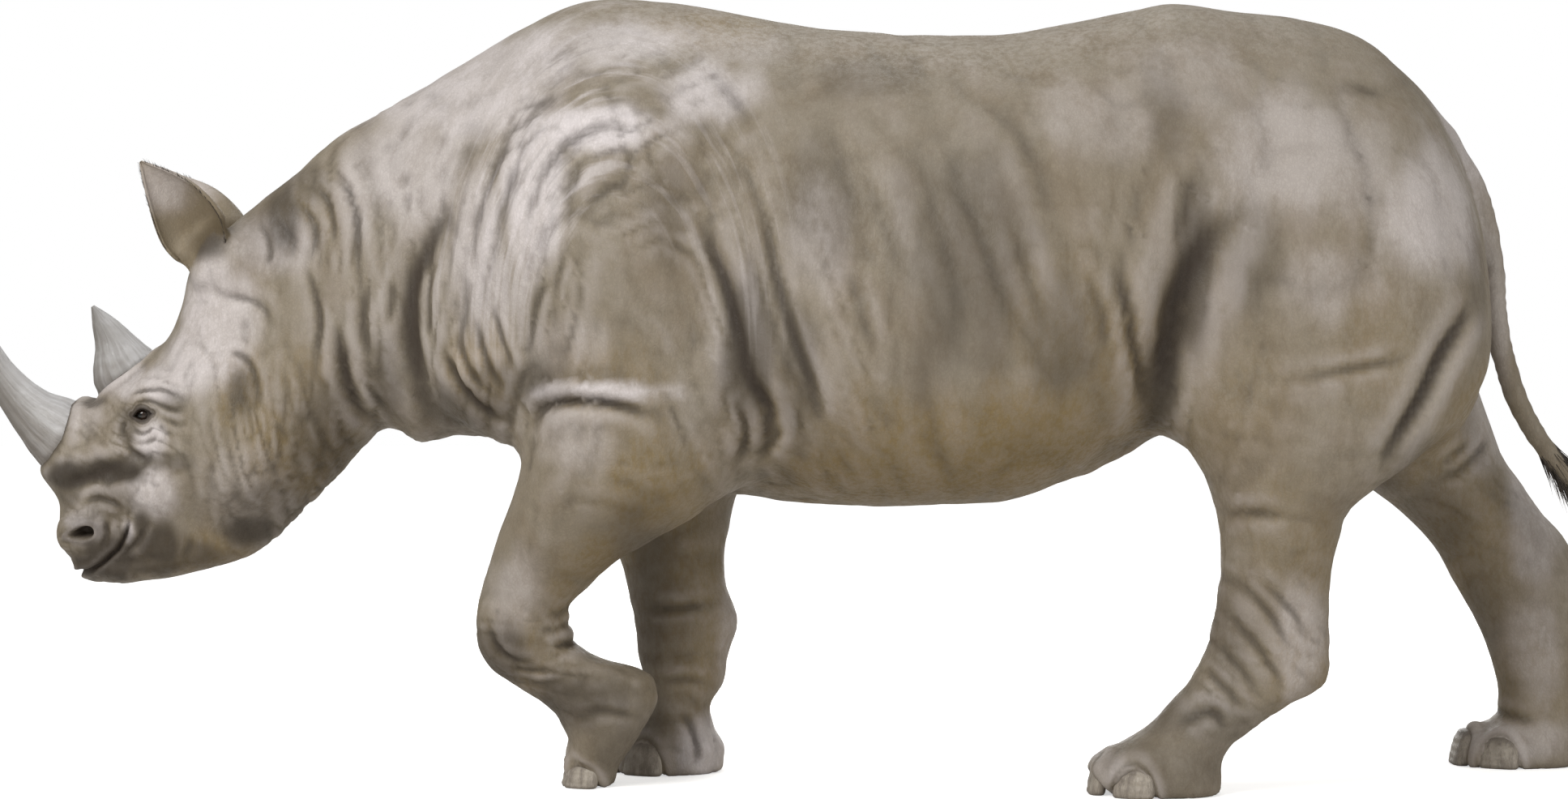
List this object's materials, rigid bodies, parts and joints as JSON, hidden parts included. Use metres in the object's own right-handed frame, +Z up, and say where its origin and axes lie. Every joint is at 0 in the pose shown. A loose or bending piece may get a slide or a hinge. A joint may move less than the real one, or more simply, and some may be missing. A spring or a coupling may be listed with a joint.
{
  "type": "black rhinoceros",
  "caption": "Life-size still model of an adult black rhinoceros walking with lowered head, with two horns, funnel ears, hooked lip and tufted tail.",
  "frame": {"origin": "on the floor, under the middle of the animal's bounding box", "axes": "-X is the way the animal walks, towards the front horn; +Z up; +Y towards the animal's right side"},
  "size_m": [3.4776, 0.9428, 1.5883],
  "materials": {
    "skin": "dry, thick, wrinkled grey-brown hide with dusty highlights",
    "horn": "worn grey horn, paler above and browner below, fibrous at the base",
    "nail": "dull grey-beige hoof nail",
    "eye": "wet, very dark brown eye",
    "hair": "coarse dark hair"
  },
  "bodies": {
    "root": {"head": "skin", "neck": "skin", "torso": "skin", "ear_left": "skin", "ear_right": "skin", "eye_left": "eye", "eye_right": "eye", "horn_front": "horn", "horn_rear": "horn", "leg_front_left": "skin", "leg_front_right": "skin", "leg_hind_left": "skin", "leg_hind_right": "skin", "nail_front_left_middle": "nail", "nail_front_left_left": "nail", "nail_front_left_right": "nail", "nail_front_right_middle": "nail", "nail_front_right_left": "nail", "nail_front_right_right": "nail", "nail_hind_left_middle": "nail", "nail_hind_left_left": "nail", "nail_hind_left_right": "nail", "nail_hind_right_middle": "nail", "nail_hind_right_left": "nail", "nail_hind_right_right": "nail", "tail": "skin", "tail_tuft": "hair"}
  },
  "joints": []
}
